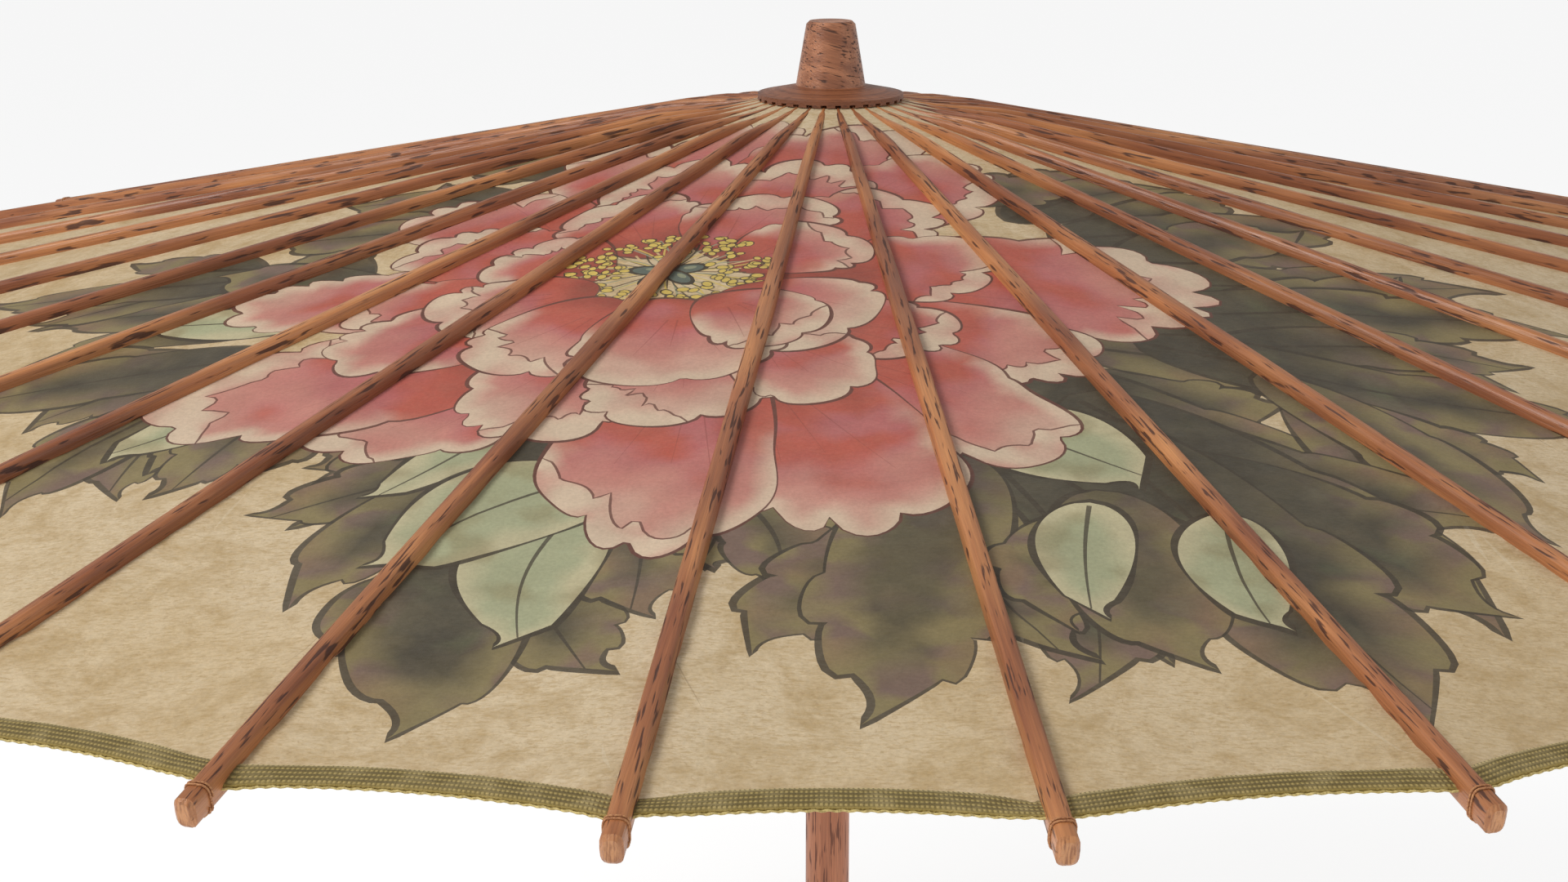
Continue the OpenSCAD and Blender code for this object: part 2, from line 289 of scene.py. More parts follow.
def oiledPaper():
    finish = Finish("oiledPaper", 0.55)
    finish.shader.inputs["Specular IOR Level"].default_value = 0.35
    place = finish.place()
    clouds = finish.cloud(place, 9, 4, 0.6)
    blots = finish.cloud(place, 62, 6, 0.7, 0.6)
    mottle = finish.cloud(place, 230, 4, 0.6)
    flecks = finish.cloud(place, 1100, 3, 0.6)
    hairs = finish.cloud(place, 420, 2, 0.5, 3.0)
    combed = {"Vector": place, "Rotation": (0, 0, 0.85), "Scale": (420, 1500, 300)}
    strokes = finish.cloud(finish.node("ShaderNodeMapping", inputs=combed), 1, 3, 0.6, 0.8)
    tone = finish.blend(finish.ramp(clouds, 0.36, 0.66), paperTones["base"], paperTones["pale"])
    tone = finish.blend(finish.ramp(blots, 0.44, 0.68) * 0.75, tone, paperTones["stain"])
    tone = finish.blend(finish.ramp(strokes, 0.47, 0.64) * 0.55, tone, paperTones["stain"])
    tone = finish.blend(finish.ramp(mottle, 0.45, 0.75) * 0.35, tone, paperTones["pale"])
    tone = finish.blend(finish.ramp(hairs, 0.62, 0.70) * 0.35, tone, paperTones["fibre"])
    paint = finish.mark("paint", "Color")
    cover = finish.mark("paint", "Alpha")
    washes = finish.cloud(place, 60, 5, 0.65, 0.3)
    paint = finish.shade(paint, washes * 0.55 + 0.72)
    tone = finish.blend(cover * (0.97 - mottle * 0.10), tone, paint)
    tone = finish.shade(tone, flecks * 0.40 + 0.80)
    height = mottle + flecks * 0.4 + blots
    return finish.done(tone, mottle * 0.25 + 0.42, height, 0.0004, 0.45)


bandTones = {
    "olive": (0.40, 0.295, 0.095),
    "shadow": (0.14, 0.100, 0.028),
    "pale": (0.56, 0.44, 0.21),
    "gold": (0.60, 0.42, 0.09),
}


def wovenBand():
    finish = Finish("wovenBand", 0.8)
    along, across, _ = finish.split(finish.mark("weave", "Vector"))
    warp = finish.node("ShaderNodeMath", {"operation": "SINE"}, {0: along * 6500})
    weft = finish.node("ShaderNodeMath", {"operation": "SINE"}, {0: across * 4500})
    weave = (warp * 0.45 + 1.0) * (weft * 0.5 + 0.5) * 0.8
    place = finish.place()
    wear = finish.cloud(place, 160, 4)
    fuzz = finish.cloud(place, 2600, 2)
    tone = finish.blend(finish.ramp(weave, 0.15, 0.75), bandTones["shadow"], bandTones["olive"])
    tone = finish.blend(finish.ramp(wear, 0.45, 0.75) * 0.4, tone, bandTones["pale"])
    inner = finish.ramp(across * 100, 0.05, 0.12, 1.0, 0.0)
    outer = finish.ramp(across * 100, 0.60, 0.68)
    tone = finish.blend(inner * 0.85, tone, bandTones["pale"])
    tone = finish.blend(outer * 0.35, tone, bandTones["gold"])
    tone = finish.shade(tone, fuzz * 0.5 + 0.75)
    return finish.done(tone, None, weave + fuzz * 0.4, 0.0006, 0.9)


finishes = {
    "rib": ribWood(),
    "strut": strutWood(),
    "paper": oiledPaper(),
    "binding": wovenBand(),
    "finial": turnedWood("finialWood", woodTones["finial"], lean=(0, -1.83, 0)),
    "cap": capWood(),
    "hub": turnedWood("hubWood", woodTones["turned"]),
    "pole": turnedWood("poleWood", woodTones["pole"]),
    "handle": turnedWood("handleWood", woodTones["pole"]),
    "peg": turnedWood("pegBamboo", woodTones["pegs"]),
    "cord": threadFinish("hubCord", (0.36, 0.12, 0.05), (0.14, 0.04, 0.02), 2400),
    "tipThread": threadFinish("tipThread", (0.56, 0.27, 0.11), (0.30, 0.11, 0.045), 2600),
    "edgeThread": threadFinish("goldThread", (0.66, 0.52, 0.20), (0.34, 0.25, 0.08), 1600),
    "catch": metalFinish("agedBrass", (0.72, 0.50, 0.22), (0.42, 0.26, 0.10), 0.34),
    "catch_pin": metalFinish("steelWire", (0.66, 0.66, 0.66), (0.42, 0.41, 0.40), 0.3),
    "ring": metalFinish("brassRing", (0.76, 0.54, 0.24), (0.46, 0.29, 0.11), 0.3),
}
print("finishes made:", len(finishes))


def makePiece(name, points, faces, body, finish):
    mesh = bpy.data.meshes.new(name)
    mesh.from_pydata([tuple(point) for point in points], [], [tuple(face) for face in faces])
    mesh.materials.append(finish)
    mesh.shade_smooth()
    piece = bpy.data.objects.new(name, mesh)
    scene.collection.objects.link(piece)
    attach(piece, body)
    return piece


def giveMark(piece, name, kind, domain, values):
    mark = piece.data.attributes.new(name, kind, domain)
    flat = np.asarray(values, np.float32).ravel()
    mark.data.foreach_set("vector" if kind == "FLOAT_VECTOR" else "value", flat)


def loft(rings, closed=True, capped=False):  # points and quads through rings of equal length
    rings = np.asarray(rings, float)
    rows, size = rings.shape[:2]
    reach = size if closed else size - 1
    faces = []
    for row in range(rows - 1):
        for i in range(reach):
            j = (i + 1) % size
            faces.append((row * size + i, row * size + j, (row + 1) * size + j, (row + 1) * size + i))
    if capped:
        faces.append(tuple(reversed(range(size))))
        faces.append(tuple(range((rows - 1) * size, rows * size)))
    return rings.reshape(-1, 3), faces


def tube(path, radius, sides=8, closed=False):  # rings of points along a path
    path = np.asarray(path, float)
    count = len(path)
    radius = np.broadcast_to(radius, count)
    rings = []
    for i, point in enumerate(path):
        before = path[(i - 1) % count] if closed or i > 0 else point
        after = path[(i + 1) % count] if closed or i < count - 1 else point
        ahead = Vector(after - before).normalized()
        side = ahead.cross(Vector((0.0, 0.0, 1.0)))
        if side.length < 1e-3:
            side = ahead.cross(Vector((1.0, 0.0, 0.0)))
        side.normalize()
        rise = side.cross(ahead)
        turns = [math.tau * k / sides for k in range(sides)]
        rings.append([point + radius[i] * (np.array(side) * math.cos(t) + np.array(rise) * math.sin(t))
                      for t in turns])
    if closed:
        rings.append(rings[0])
    return loft(rings, capped=not closed)


def ribPlace(number, along, across, up):  # from a rib's own directions to the umbrella's, all as arrays
    angle = ribAngle(number)
    outward = np.array([math.cos(angle), math.sin(angle), 0])
    sideways = np.array([-math.sin(angle), math.cos(angle), 0])
    upward = np.array([0, 0, 1])
    ahead = outward * math.cos(slope) - upward * math.sin(slope)
    rise = outward * math.sin(slope) + upward * math.cos(slope)
    pivot = outward * pivotRadius + upward * pivotHeight
    along, across, up = np.broadcast_arrays(*[np.asarray(v, float)[..., None] for v in (along, across, up)])
    return pivot + along * ahead + across * sideways + up * rise


def nodeName(number):
    return f"rib_{number + 1:02d}"


rib = {
    "width": 0.0046,
    "height": 0.0065,
    "neckWidth": 0.0024,
    "headWidth": 0.0013,
    "headLength": 0.0085,
    "fullWidthAt": 0.165,
    "fullHeightAt": 0.045,
    "roundness": 3.4,        # of the section: 2 is an oval, more is squarer
    "bevel": 0.0009,         # at the tip
    "strutAt": 0.172,
    "slotStart": 0.156,
    "slotEnd": 0.176,
    "slotWidth": 0.0017,
    "wander": 0.00012,       # how far the hand-cut sides wander
}


def ribWidth(along):
    share = np.clip((along - rib["headLength"]) / (rib["fullWidthAt"] - rib["headLength"]), 0, 1)
    body = rib["neckWidth"] + (rib["width"] - rib["neckWidth"]) * share
    pastHead = smooth(along, rib["headLength"], rib["headLength"] + 0.002)
    return rib["headWidth"] + (body - rib["headWidth"]) * pastHead


def ribSection(along, width, low, high, slotted):
    middle, half = (low + high) / 2, (high - low) / 2
    points = []
    for k in range(18):
        turn = -math.pi / 2 + math.tau * (k + 0.5) / 18
        c, s = math.cos(turn), math.sin(turn)
        power = 2 / rib["roundness"]
        across = width / 2 * math.copysign(abs(c) ** power, c)
        points.append([along, across, middle + half * math.copysign(abs(s) ** power, s)])
    roof = umbrella["ribLift"] if slotted else low
    slotHalf = min(rib["slotWidth"], width * 0.5) / 2
    groove = [[along, -slotHalf, low], [along, -slotHalf, roof],
              [along, slotHalf, roof], [along, slotHalf, low]]
    return groove + points


def makeRib(number):
    dice = random.Random(500 + number)
    head = 0.0016
    low, high = umbrella["ribLift"] - rib["height"] / 2, umbrella["ribLift"] + rib["height"] / 2
    stations = list(np.linspace(-head, rib["headLength"], 7)) + list(np.linspace(0.0105, 0.045, 6))
    stations += list(np.linspace(0.055, 0.145, 8)) + [rib["slotStart"]] * 2 + [0.166] + [rib["slotEnd"]] * 2
    stations += list(np.linspace(0.19, ribLength - 0.012, 22))
    stations += [ribLength - 0.004, ribLength - rib["bevel"], ribLength]
    rings = []
    seen = set()
    for place in stations:
        rise = smooth(place, rib["headLength"], rib["fullHeightAt"])
        bottom, top = -head + (low + head) * rise, head + 0.0002 + (high - head - 0.0002) * rise
        width = float(ribWidth(place))
        if place < 0:
            shrink = max(0.25, math.sqrt(1 - (place / head) ** 2))
            bottom, top = bottom * shrink, top * shrink
        if place == ribLength:
            width -= 2 * rib["bevel"]
            bottom, top = bottom + rib["bevel"], top - rib["bevel"]
        first = place not in seen
        seen.add(place)
        inSlot = (rib["slotStart"] < place < rib["slotEnd"] or (place == rib["slotStart"] and not first)
                  or (place == rib["slotEnd"] and first))
        ring = ribSection(place, width, bottom, top, inSlot)
        if 0.03 < place < ribLength - 0.003:
            wander = rib["wander"] * noise.noise(Vector((place * 25, number * 3.1, 0)))
            ring = [[a, b + wander, c + wander * 0.7] for a, b, c in ring]
        rings.append(ring)
    local, faces = loft(rings, capped=True)
    points = ribPlace(number, local[:, 0], local[:, 1], local[:, 2])
    piece = makePiece(f"ribWood_{number + 1:02d}", points, faces, nodeName(number), finishes["rib"])
    giveMark(piece, "grain", "FLOAT_VECTOR", "POINT", local)
    giveMark(piece, "seed", "FLOAT", "POINT", np.full(len(local), dice.random() * 10))
    ends = np.zeros(len(faces))
    ends[-1] = 1
    size = len(rings[0])
    ends[-2 - size:-2] = 0.55
    giveMark(piece, "endGrain", "FLOAT", "FACE", ends)
    piece.data.set_sharp_from_angle(angle=math.radians(38))
    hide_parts(nodeName(number))
    return piece


for number in range(ribCount):
    makeRib(number)
print("ribs made:", ribCount)


thread = {
    "radius": 0.00025,
    "turns": 2,
    "fromTip": 0.0072,
    "pitch": 0.0009,
    "knot": 0.0008,
}


def makeTipThread(number):
    dice = random.Random(900 + number)
    centre = umbrella["ribLift"]
    halfWidth = rib["width"] / 2 + thread["radius"] * 0.6
    halfHeight = rib["height"] / 2 + thread["radius"] * 0.6
    start = ribLength - thread["fromTip"]
    lean = dice.uniform(-0.0006, 0.0006)
    path = []
    for k in range(24 * thread["turns"]):
        turn = math.tau * k / 24
        c, s = math.cos(turn), math.sin(turn)
        across = halfWidth * math.copysign(abs(c) ** 0.55, c)
        up = centre + halfHeight * math.copysign(abs(s) ** 0.55, s)
        along = start + thread["pitch"] * k / 24 + lean * s
        path.append(ribPlace(number, along, across, up))
    points, faces = tube(path, thread["radius"], 6)
    knotPath = [ribPlace(number, start + thread["pitch"], offset, centre - halfHeight - 0.0003)
                for offset in (-0.0011, -0.0004, 0.0004, 0.0011)]
    more, moreFaces = tube(knotPath, [0.0002, thread["knot"], thread["knot"], 0.0002], 8)
    faces += [tuple(i + len(points) for i in face) for face in moreFaces]
    points = np.vstack([points, more])
    makePiece(f"tipThread_{number + 1:02d}", points, faces, nodeName(number), finishes["tipThread"])


def makeStrutPin(number):
    half = rib["width"] / 2
    path = [ribPlace(number, rib["strutAt"], half * side, -0.0001)
            for side in (-1.15, -1.13, -1.06, -1.0, 0, 1.0, 1.06, 1.13, 1.15)]
    radii = [0.0005, 0.0008, 0.0010, 0.0006, 0.0005, 0.0006, 0.0010, 0.0008, 0.0005]
    points, faces = tube(path, radii, 8)
    makePiece(f"strutKnot_{number + 1:02d}", points, faces, nodeName(number), finishes["cord"])


for number in range(ribCount):
    makeTipThread(number)
    makeStrutPin(number)
print("threads and pins made")


strut = {
    "innerRadius": 0.015,
    "innerHeight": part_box("runner_cord")[0].z / 2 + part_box("runner_cord")[1].z / 2,
    "width": 0.0030,
    "height": 0.0046,
    "tongue": 0.0013,
    "tongueHeight": 0.0028,
    "innerTongue": 0.007,
    "outerTongue": 0.013,
    "foldAxis": (0.981, -0.194),     # outward and upward parts of the way a strut closes up
}


def makeStrut(number):
    dice = random.Random(700 + number)
    angle = ribAngle(number)
    outward = np.array([math.cos(angle), math.sin(angle), 0])
    sideways = np.array([-math.sin(angle), math.cos(angle), 0])
    upward = np.array([0.0, 0.0, 1.0])
    inner = outward * strut["innerRadius"] + upward * strut["innerHeight"]
    outer = ribPlace(number, rib["strutAt"], 0.0, -0.0001)
    length = float(np.linalg.norm(outer - inner))
    ahead = (outer - inner) / length
    rise = np.cross(ahead, sideways) * -1
    rise = rise if rise[2] > 0 else -rise
    stations = [-0.0014, -0.0008, 0.002, strut["innerTongue"], strut["innerTongue"] + 0.002]
    stations += list(np.linspace(0.02, length - strut["outerTongue"] - 0.01, 8))
    stations += [length - strut["outerTongue"] - 0.002, length - strut["outerTongue"]]
    stations += [length - 0.002, length + 0.0008, length + 0.0014]
    rings = []
    for place in stations:
        thick = (smooth(place, strut["innerTongue"], strut["innerTongue"] + 0.002)
                 * (1 - smooth(place, length - strut["outerTongue"] - 0.002, length - strut["outerTongue"])))
        width = strut["tongue"] + (strut["width"] - strut["tongue"]) * thick
        height = strut["tongueHeight"] + (strut["height"] - strut["tongueHeight"]) * thick
        if place < -0.001 or place > length + 0.001:
            height *= 0.45
        ring = []
        for k in range(12):
            turn = math.tau * (k + 0.5) / 12
            c, s = math.cos(turn), math.sin(turn)
            ring.append([place, width / 2 * math.copysign(abs(c) ** 0.6, c),
                         height / 2 * math.copysign(abs(s) ** 0.6, s)])
        rings.append(ring)
    local, faces = loft(rings, capped=True)
    points = inner + local[:, :1] * ahead + local[:, 1:2] * sideways + local[:, 2:] * rise
    piece = makePiece(f"strutWood_{number + 1:02d}", points, faces, "runner", finishes["strut"])
    giveMark(piece, "grain", "FLOAT_VECTOR", "POINT", local)
    giveMark(piece, "seed", "FLOAT", "POINT", np.full(len(local), dice.random() * 10))
    piece.data.set_sharp_from_angle(angle=math.radians(40))
    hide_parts("struts")
    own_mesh(piece)


for number in range(ribCount):
    makeStrut(number)
print("struts made")


inks = {
    "line": (0.016, 0.012, 0.008),
    "petalLine": (0.085, 0.016, 0.014),
    "petalDeep": (0.27, 0.036, 0.024),
    "petalRed": (0.42, 0.070, 0.048),
    "petalRose": (0.42, 0.105, 0.110),
    "petalPink": (0.49, 0.190, 0.155),
    "petalPale": (0.54, 0.330, 0.250),
    "petalCream": (0.60, 0.460, 0.330),
    "petalCrease": (0.20, 0.028, 0.026),
    # pale tone of the highlights painted along the creases beside the ribs, where the paper catches the light
    "crease": (0.74, 0.66, 0.50),
    "scratch": (0.16, 0.085, 0.035),
    "leafDark": (0.022, 0.021, 0.015),
    "leafMid": (0.042, 0.038, 0.024),
    "leafGreen": (0.070, 0.085, 0.040),
    "leafOlive": (0.200, 0.158, 0.066),
    "leafPurple": (0.150, 0.092, 0.074),
    "leafBrown": (0.200, 0.125, 0.062),
    "mint": (0.33, 0.345, 0.205),
    "mintPale": (0.47, 0.420, 0.255),
    "stamen": (0.58, 0.42, 0.085),
    "stamenPale": (0.60, 0.42, 0.20),
    "heart": (0.07, 0.10, 0.085),
    "heartPale": (0.25, 0.27, 0.17),
    "twig": (0.30, 0.235, 0.14),
}

peony = {
    "middle": (-45, -150),
    "lineWidth": 1.2,
    "turnedOver": 0.75,      # share of the petals with an edge turned over
    # each petal: root x and y, tip x and y, width, how pale it is, lobes along its edge
    "outer": [
        (-48, -118, -70, -38, 54, 0.45, 9), (-40, -112, -22, -34, 60, 0.40, 10),
        (-24, -112, 16, -40, 58, 0.35, 9), (-12, -128, 44, -70, 56, 0.20, 8),
        (-66, -135, -116, -74, 58, 0.35, 10), (-5, -160, 100, -156, 88, 0.35, 12),
        (-2, -182, 66, -206, 54, 0.55, 8), (-12, -196, 52, -256, 62, 0.55, 7),
        (-22, -205, 8, -296, 78, 0.45, 6), (-34, -205, -44, -306, 66, 0.60, 5),
        (-80, -160, -163, -143, 54, 0.45, 11), (-62, -205, -122, -248, 60, 0.55, 8),
        (-66, -188, -168, -220, 76, 0.45, 9),
    ],
    "middleRing": [
        (-44, -128, -44, -64, 62, 0.40, 10), (-26, -128, 2, -74, 54, 0.30, 9),
        (-22, -146, 24, -100, 58, 0.05, 7), (-16, -160, 44, -142, 52, 0.15, 8),
        (-66, -146, -118, -112, 56, 0.15, 10), (-72, -160, -132, -160, 46, 0.30, 9),
        (-14, -180, 30, -196, 44, 0.15, 7), (-72, -174, -130, -190, 54, 0.35, 9),
        (-54, -190, -80, -246, 58, 0.70, 8), (-38, -194, -34, -242, 66, 0.80, 9),
        (-22, -190, 2, -228, 48, 0.65, 7),
    ],
    "cup": [
        (-50, -136, -62, -92, 50, 0.30, 7), (-32, -138, -12, -98, 52, 0.55, 8),
        (-26, -146, 6, -128, 44, 0.60, 6), (-62, -146, -92, -128, 44, 0.35, 7),
        (-66, -160, -106, -172, 50, 0.75, 7), (-24, -164, 4, -192, 58, 0.90, 6),
        (-58, -170, -82, -210, 56, 0.80, 6), (-40, -172, -42, -220, 66, 0.85, 7),
        (-30, -168, -10, -196, 44, 0.95, 5),
    ],
}

foliage = {
    "lineWidth": 1.7,
    # each leaf: stalk end x and y, tip x and y, width, kind
    "leaves": [
        (-140, -165, -224, -126, 46, "dark"), (-146, -185, -232, -190, 52, "dark"),
        (-150, -118, -252, -92, 38, "dark"), (-148, -196, -200, -264, 46, "olive"),
        (-132, -208, -158, -266, 42, "olive"), (-126, -140, -176, -102, 44, "dark"),
        (-145, -206, -180, -238, 24, "mint"), (-140, -160, -190, -148, 26, "mint"),
        (-92, -84, -152, -48, 40, "dark"), (-70, -62, -114, -20, 42, "dark"),
        (-58, -44, -58, -8, 30, "dark"), (-116, -96, -164, -84, 32, "olive"),
        (-76, -226, -120, -290, 48, "dark"), (-78, -240, -108, -276, 20, "mint"),
        (-58, -250, -122, -322, 54, "dark"), (-60, -288, -66, -346, 34, "mint"),
        (-72, -292, -82, -380, 62, "dark"), (-52, -268, -100, -314, 42, "mint"),
        (-50, -262, -44, -338, 56, "olive"), (-24, -280, -12, -324, 44, "olive"),
        (45, -246, 18, -268, 34, "olive"), (36, -240, 74, -270, 40, "mint"),
        (60, -196, 134, -196, 52, "olive"), (50, -110, 104, -56, 42, "dark"),
        (62, -122, 156, -70, 52, "dark"), (60, -150, 190, -106, 56, "dark"),
        (70, -178, 208, -138, 58, "dark"), (78, -190, 204, -216, 54, "dark"),
        (34, -96, 70, -76, 28, "dark"), (46, -214, 124, -262, 64, "dark"),
        (108, -205, 160, -290, 46, "olive"), (58, -226, 148, -326, 80, "dark"),
        (58, -240, 124, -374, 86, "dark"), (88, -286, 92, -338, 26, "mint"),
        (36, -262, 52, -368, 58, "dark"), (30, -262, 12, -378, 70, "olive"),
        (58, -282, 54, -334, 24, "mint"), (60, -276, 72, -354, 58, "olive"),
    ],
}


def axisFrame(root, tip):
    root, tip = np.array(root, float), np.array(tip, float)
    length = np.linalg.norm(tip - root)
    ahead = (tip - root) / length
    return root, length, ahead, np.array([-ahead[1], ahead[0]])


def petalOutline(root, tip, width, lobes, dice):
    root, length, ahead, aside = axisFrame(root, tip)
    turns = np.linspace(-math.pi, math.pi, 120, endpoint=False)
    towardTip = smooth(np.cos(turns), -0.35, 0.65)
    phase = dice.uniform(0, math.pi)
    uneven = 1.3 * np.sin(2 * turns + phase) + 0.7 * np.sin(5 * turns + 2 * phase)
    scallops = np.abs(np.sin(lobes * 0.7 * turns + phase + uneven)) ** 0.5 - 0.75
    swell = 1 + 0.19 * towardTip * scallops + 0.07 * np.sin(3 * turns + phase)
    along = length * (0.46 + 0.54 * np.cos(turns) * swell)
    across = width / 2 * np.sin(turns) * swell * (0.80 + 0.26 * np.cos(turns))
    return root + np.outer(along, ahead) + np.outer(across, aside)


def petalLip(outline, shape, lobes, depth, dice):  # the part of a petal's edge that is turned over
    root, length, ahead, _ = axisFrame(*shape)
    start, end = dice.choice(((38, 76), (44, 84), (34, 70), (56, 88), (32, 60)))
    edge = outline[start:end]
    share = np.linspace(0, 1, len(edge))
    bumps = 0.72 + 0.28 * np.abs(np.sin(share * lobes * 0.8 * math.pi + dice.uniform(0, 3))) ** 0.6
    inward = depth * np.sin(math.pi * share) ** 0.6 * bumps
    middle = root + ahead * length * 0.45
    way = middle - edge
    way /= np.linalg.norm(way, axis=1)[:, None]
    return np.vstack([edge, (edge + way * inward[:, None])[-2:0:-1]])


def leafOutline(root, tip, width, kind, dice):
    root, length, ahead, aside = axisFrame(root, tip)
    bend = dice.uniform(-0.10, 0.10) * length
    hook = dice.choice((-1, 1)) * width * 0.16
    tail = 0.84                                # where the blade narrows into its pointed tip
    sides = []
    for side in (1, -1):
        u = np.concatenate([np.linspace(0, tail, 46), np.linspace(tail, 1, 9)[1:]])
        lobes = 0 if kind == "mint" else dice.choice((1, 2, 2))
        lean = dice.uniform(0.42, 0.55)
        step = np.clip((u - lean) / (tail - lean), 0, 0.9999) * lobes % 1.0
        lobed = (u > lean) & (u < tail) & (lobes > 0)
        bulge = np.where(lobed, 0.80 + 0.34 * step ** 0.5 * (1 - step ** 7), 0.80 + 0.12 * (lobes == 0))
        body = np.sin(math.pi * np.minimum(u, tail) ** 0.70) ** 0.72
        point = np.where(u > tail, np.clip((1 - u) / (1 - tail), 0, 1) ** 1.7, 1.0)
        half = width / 2 * body * bulge * point
        along = length * (u + np.where(lobed, 0.055 * step ** 2 * (1 - step ** 9), 0))
        turned = bend * np.sin(math.pi * u) + hook * np.clip((u - tail) / (1 - tail), 0, 1) ** 2
        sides.append(root + np.outer(along, ahead) + np.outer(side * half + turned, aside))
    return np.vstack([sides[0], sides[1][-2:0:-1]]), bend


def grown(outline, amount):  # the outline pushed outward along its own normals
    ahead = np.roll(outline, -1, 0) - np.roll(outline, 1, 0)
    normal = np.stack([ahead[:, 1], -ahead[:, 0]], 1)
    normal /= np.linalg.norm(normal, axis=1)[:, None] + 1e-9
    area = np.sum(outline[:, 0] * np.roll(outline[:, 1], -1) - np.roll(outline[:, 0], -1) * outline[:, 1])
    return outline + normal * np.reshape(amount, (-1, 1)) * (1 if area > 0 else -1)


def brushLine(points, start, end=None):  # a stroke along points, tapered or with a width at each point
    points = np.array(points, float)
    ahead = np.gradient(points, axis=0)
    normal = np.stack([-ahead[:, 1], ahead[:, 0]], 1)
    normal /= np.linalg.norm(normal, axis=1)[:, None] + 1e-9
    widths = start if end is None else np.linspace(start, end, len(points))
    half = np.reshape(widths, (-1, 1)) / 2
    return np.vstack([points + normal * half, (points - normal * half)[::-1]])


def edgeDistance(points, outline):
    best = np.full(len(points), 1e9)
    for start, end in zip(outline, np.roll(outline, -1, 0)):
        line = end - start
        share = np.clip((points - start) @ line / (line @ line + 1e-9), 0, 1)
        best = np.minimum(best, np.linalg.norm(points - start - share[:, None] * line, axis=1))
    return best


def mixed(under, over, share):
    share = np.reshape(share, (-1, 1))
    return np.asarray(under) * (1 - share) + np.asarray(over) * share


def wash(points, size, shift):  # soft random values over the painting
    return np.array([noise.noise(Vector((p[0] / size, p[1] / size, shift))) for p in points])


def petalColour(points, outline, shape, pale, shift):
    root, length, ahead, aside = axisFrame(*shape)
    cloudy = wash(points, 13, shift)
    along = (points - root) @ ahead / length + 0.18 * cloudy + (pale - 0.3) * 0.55
    across = np.abs((points - root) @ aside) / length
    along = along + 0.25 * across
    edge = edgeDistance(points, outline)
    colour = mixed(inks["petalDeep"], inks["petalRed"], smooth(along, 0.22, 0.50))
    colour = mixed(colour, inks["petalRose"], smooth(along + 0.3 * cloudy, 0.52, 0.76))
    colour = mixed(colour, inks["petalPink"], smooth(along, 0.66, 0.92))
    colour = mixed(colour, inks["petalPale"], smooth(along, 0.88, 1.18))
    rimPart = (1 - smooth(edge, 1.2, 6.5)) * smooth(along, 0.50, 0.88)
    return mixed(colour, inks["petalCream"], rimPart * 0.9)


def lipColour(points, outline, shift):
    edge = edgeDistance(points, outline)
    blush = smooth(wash(points, 9, shift), -0.25, 0.5)
    colour = mixed(inks["petalCream"], inks["petalPale"], 0.75 * blush)
    return mixed(colour, inks["petalPink"], 0.45 * (1 - smooth(edge, 0.2, 3.0)) * blush)


def leafColour(points, outline, shape, kind, shift):
    root, length, ahead, _ = axisFrame(*shape)
    along = (points - root) @ ahead / length
    cloudy, patchy = wash(points, 14, shift), wash(points, 9, shift + 40)
    edge = edgeDistance(points, outline)
    if kind == "mint":
        colour = mixed(inks["mintPale"], inks["mint"], smooth(edge + 6 * cloudy, 0.5, 7))
        return mixed(colour, inks["leafOlive"], 0.45 * smooth(patchy, 0.05, 0.45))
    outward = 0.25 if kind == "olive" else 0.0
    lit = (1 - smooth(edge + 5 * cloudy, 1.0, 13)) * smooth(along, 0.20 - outward, 0.70 - outward)
    lit = np.clip(lit + outward + 0.35 * smooth(along + 0.4 * cloudy, 0.62, 1.0), 0, 1)
    light = mixed(inks["leafOlive"], inks["leafPurple"], smooth(patchy, -0.05, 0.30))
    light = mixed(light, inks["leafBrown"], 0.6 * smooth(cloudy, 0.1, 0.4))
    dark = mixed(inks["leafDark"], inks["leafMid"], smooth(cloudy, -0.2, 0.4))
    dark = mixed(dark, inks["leafGreen"], 0.6 * smooth(patchy, 0.15, 0.5) * smooth(along, 0.1, 0.5))
    return mixed(dark, light, lit)


regions = []       # painted shapes in the order they are laid down: outline, colour maker, cover


def paintFlat(outline, ink, cover=1.0):
    tone = inks[ink]
    regions.append((outline, lambda points: np.tile(tone, (len(points), 1)), cover))


def paintLeaf(number, spot):
    dice = random.Random(40 + number)
    x0, y0, x1, y1, width, kind = spot
    if kind != "mint" and width > 36:           # a wide leaf has a pointed lobe on each side
        root, length, ahead, aside = axisFrame((x0, y0), (x1, y1))
        for side in (1, -1):
            turn = side * math.radians(dice.uniform(20, 30))
            way = ahead * math.cos(turn) + aside * math.sin(turn)
            foot = root + ahead * length * 0.14
            end = foot + way * length * dice.uniform(0.60, 0.74)
            paintLeaflet(number * 3 + side, (*foot, *end, width * 0.56, kind), dice)
        width *= 0.68
    paintLeaflet(number * 3, (x0, y0, x1, y1, width, kind), dice)


def paintLeaflet(number, spot, dice):
    x0, y0, x1, y1, width, kind = spot
    outline, bend = leafOutline((x0, y0), (x1, y1), width, kind, dice)
    line = foliage["lineWidth"] * (0.75 + 0.35 * np.sin(np.linspace(0, 17, len(outline)) + number))
    paintFlat(grown(outline, line), "line", 0.92)
    shape = ((x0, y0), (x1, y1))
    regions.append((outline, lambda points: leafColour(points, outline, shape, kind, number * 1.7), 0.97))
    root, length, ahead, aside = axisFrame(*shape)
    u = np.linspace(0.03, 0.93, 14)
    rib = root + np.outer(u * length, ahead) + np.outer(bend * np.sin(math.pi * u), aside)
    if kind == "mint" or dice.random() < 0.6:
        paintFlat(brushLine(rib, 1.2 if kind == "mint" else 1.9, 0.4), "line", 0.85)


